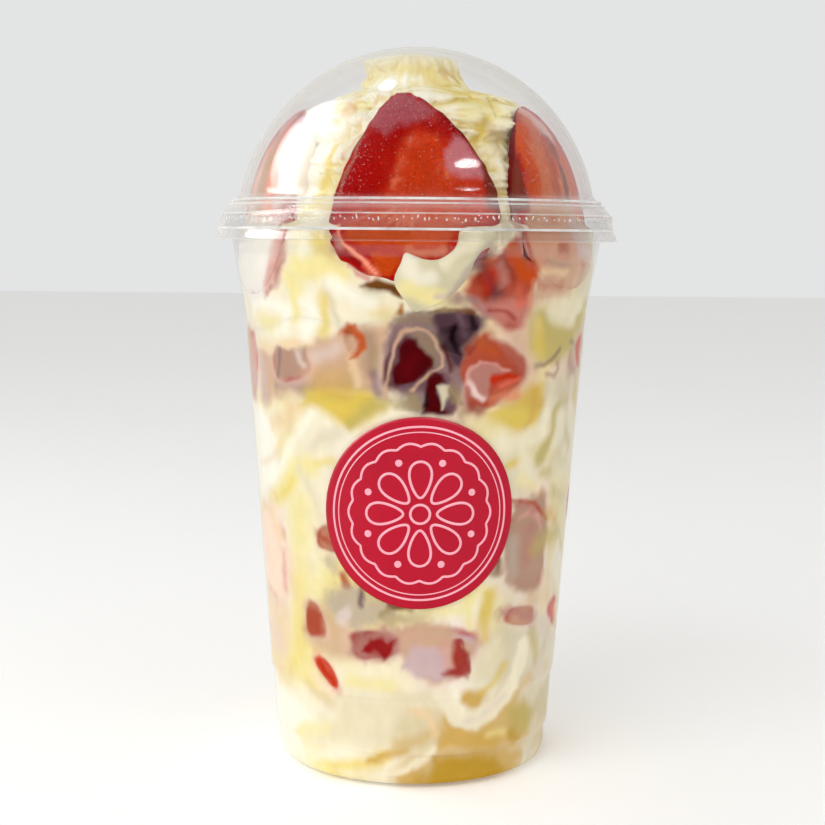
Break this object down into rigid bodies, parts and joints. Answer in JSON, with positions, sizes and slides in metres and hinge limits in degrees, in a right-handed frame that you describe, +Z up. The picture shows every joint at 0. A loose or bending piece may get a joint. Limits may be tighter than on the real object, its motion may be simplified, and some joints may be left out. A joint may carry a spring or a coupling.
{
  "type": "cup of strawberries and cream",
  "caption": "Clear tapered cup with a shut dome lid, filled with marbled cream, cut strawberries and piped whipped cream, with strawberry halves standing inside the dome.",
  "frame": {"origin": "centre of the base, on the surface that the cup stands on", "axes": "+Z up the cup's axis to the top of the dome; -Y is the front, with the sticker; +X is to the right seen from the front"},
  "size_m": [0.1036, 0.1036, 0.1834],
  "materials": {
    "cup_plastic": "clear, polished thin plastic",
    "lid_plastic": "clear, polished thin plastic",
    "label": "satin printed sticker",
    "marbled_cream": "smooth moist cream marbled with yellow",
    "milky_cream": "smooth milky cream stained with juice",
    "whipped_cream": "soft whipped cream",
    "strawberry": "wet fruit, cut faces and skin"
  },
  "bodies": {
    "root": {"cup": "cup_plastic", "dome_lid": "lid_plastic", "round_sticker": "label", "marbled_cream": "marbled_cream", "berry_cream_layer": "milky_cream", "whipped_cream_top": "whipped_cream", "strawberry_half_front": "strawberry", "strawberry_half_right": "strawberry", "strawberry_half_right_back": "strawberry", "strawberry_half_back": "strawberry", "strawberry_half_left_back": "strawberry", "strawberry_half_left": "strawberry", "strawberry_chunk_shoulder": "strawberry", "strawberry_chunk_window": "strawberry", "strawberry_chunk_dark": "strawberry", "strawberry_chunk_bubble": "strawberry", "strawberry_chunk_block": "strawberry", "strawberry_slice_left_high": "strawberry", "strawberry_slice_left": "strawberry", "strawberry_bit_upper": "strawberry", "strawberry_bit_left": "strawberry", "strawberry_chunk_low": "strawberry", "strawberry_bit_streak": "strawberry", "strawberry_slice_pale": "strawberry", "strawberry_slice_right": "strawberry", "strawberry_bit_right": "strawberry", "strawberry_far_high_1": "strawberry", "strawberry_far_high_2": "strawberry", "strawberry_far_high_3": "strawberry", "strawberry_far_high_4": "strawberry", "strawberry_far_high_5": "strawberry", "strawberry_far_high_6": "strawberry", "strawberry_far_middle_1": "strawberry", "strawberry_far_middle_2": "strawberry", "strawberry_far_middle_3": "strawberry", "strawberry_far_middle_4": "strawberry", "strawberry_far_low_1": "strawberry", "strawberry_far_low_2": "strawberry", "strawberry_far_low_3": "strawberry", "strawberry_far_low_4": "strawberry"}
  },
  "joints": []
}
